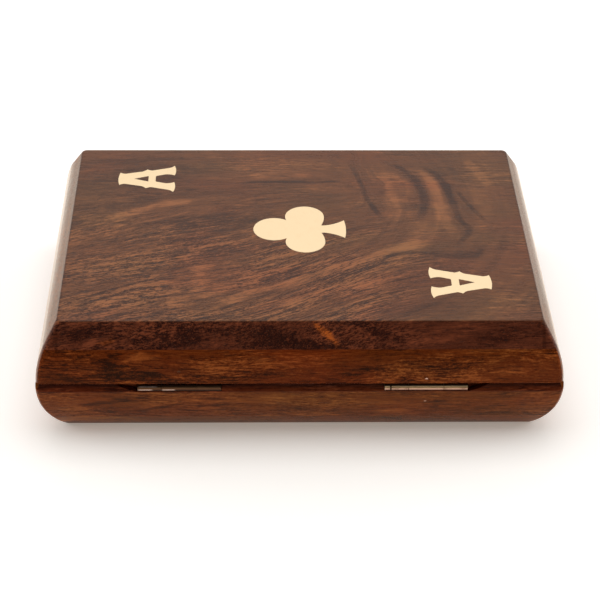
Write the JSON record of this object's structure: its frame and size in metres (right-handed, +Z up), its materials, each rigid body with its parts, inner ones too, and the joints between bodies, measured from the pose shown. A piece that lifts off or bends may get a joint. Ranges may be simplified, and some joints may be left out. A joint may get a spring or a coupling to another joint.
{
  "type": "playing card box",
  "caption": "Hinged wooden box with curved, chamfered sides that holds two decks of cards side by side; brass inlays in the lid.",
  "frame": {"origin": "centre of the flat underside", "axes": "+X along the box's length, +Y from the hinged back to the side that opens, +Z up"},
  "size_m": [0.15, 0.1103, 0.0364],
  "materials": {
    "rosewood": "dark reddish-brown rosewood with black figure, waxed to a low gloss",
    "brass_inlay": "pale polished brass, sanded flush with the wood",
    "hinge_steel": "nickel-plated steel, slightly worn",
    "felt": "short maroon felt"
  },
  "bodies": {
    "base": {"base_bottom_board": "rosewood", "base_back_rail": "rosewood", "base_front_rail": "rosewood", "base_left_rail": "rosewood", "base_right_rail": "rosewood", "divider": "rosewood", "felt_left_compartment": "felt", "felt_right_compartment": "felt", "hinge_left_base_leaf": "hinge_steel", "hinge_right_base_leaf": "hinge_steel", "hinge_left_pin": "hinge_steel", "hinge_right_pin": "hinge_steel", "hinge_nails_base": "hinge_steel"},
    "lid": {"lid_top_board": "rosewood", "lid_back_rail": "rosewood", "lid_front_rail": "rosewood", "lid_left_rail": "rosewood", "lid_right_rail": "rosewood", "felt_lid": "felt", "inlay_letter_left": "brass_inlay", "inlay_letter_right": "brass_inlay", "inlay_club": "brass_inlay", "hinge_left_lid_leaf": "hinge_steel", "hinge_right_lid_leaf": "hinge_steel", "hinge_nails_lid": "hinge_steel"}
  },
  "joints": [
    {"name": "lid_hinge", "type": "hinge", "parent": "base", "child": "lid", "pos_m": [0, -0.0541, 0.0177], "axis": [1, 0, 0], "range_deg": [0, 110]}
  ]
}
